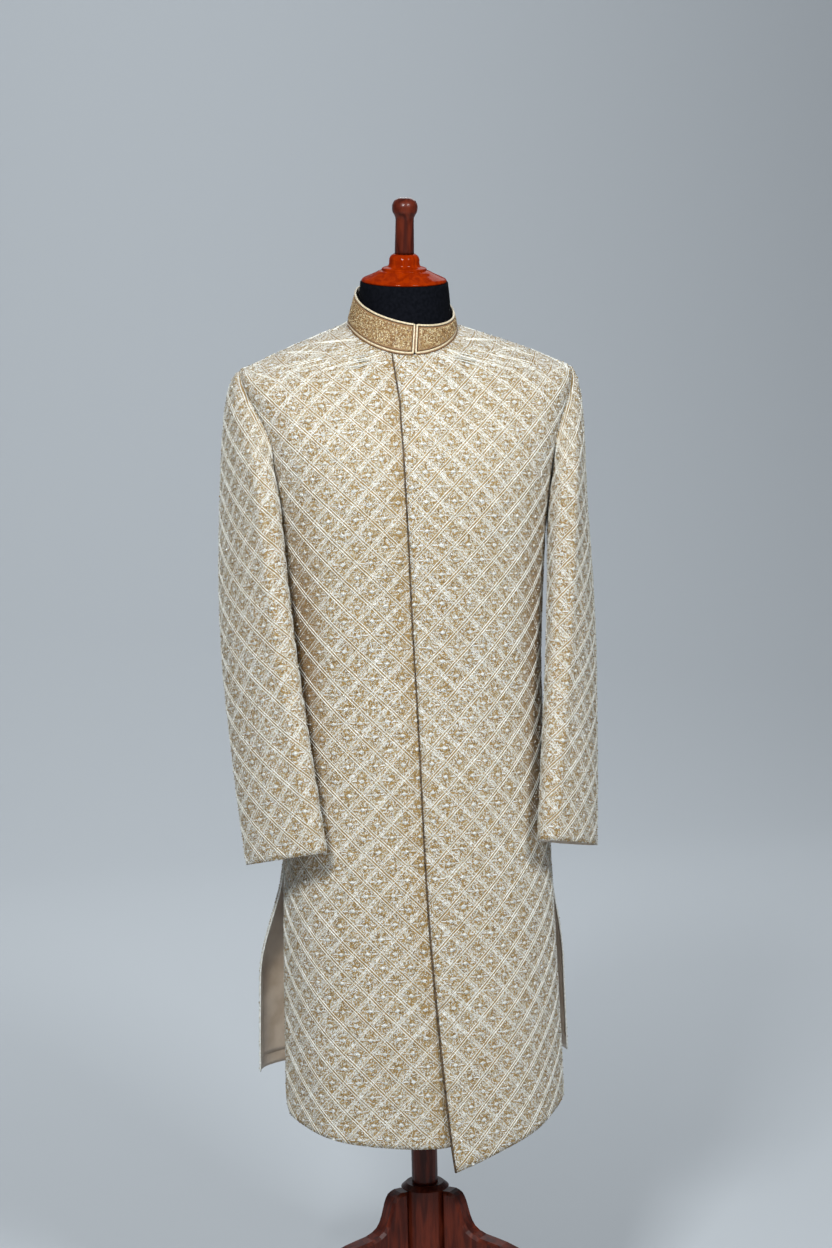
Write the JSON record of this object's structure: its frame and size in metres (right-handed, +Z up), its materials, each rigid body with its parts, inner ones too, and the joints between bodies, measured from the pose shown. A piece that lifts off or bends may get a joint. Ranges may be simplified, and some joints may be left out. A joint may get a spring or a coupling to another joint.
{
  "type": "sherwani coat on dress form",
  "caption": "Long embroidered coat with a stand collar and overlapping fronts, worn on a limbless dress form with a turned neck cap, a pole and a curved wooden tripod.",
  "frame": {"origin": "centre of the bounding box's footprint, on the floor under the feet", "axes": "+Z up, the coat faces -Y, and the wearer's left side is at +X"},
  "size_m": [0.5299, 0.4754, 1.6441],
  "materials": {
    "embroidered_cloth": "ivory cloth with raised cord and bead embroidery all over",
    "collar_beadwork": "dense tan and copper seed beads on a stiff collar",
    "piping": "cream and gold cord piping",
    "lining_satin": "taupe satin with a soft sheen",
    "black_jersey": "black knitted cover, matt",
    "lacquered_wood": "glossy orange-red lacquer",
    "dark_wood": "dark red-brown varnish"
  },
  "bodies": {
    "root": {"left_front": "embroidered_cloth", "right_front": "embroidered_cloth", "back": "embroidered_cloth", "back_lining": "lining_satin", "left_sleeve": "embroidered_cloth", "right_sleeve": "embroidered_cloth", "collar": "collar_beadwork", "collar_piping": "piping", "form_torso": "black_jersey", "neck_cap": "lacquered_wood", "finial": "dark_wood", "pole": "dark_wood", "hub": "dark_wood", "leg_1": "dark_wood", "leg_2": "dark_wood", "leg_3": "dark_wood"}
  },
  "joints": []
}
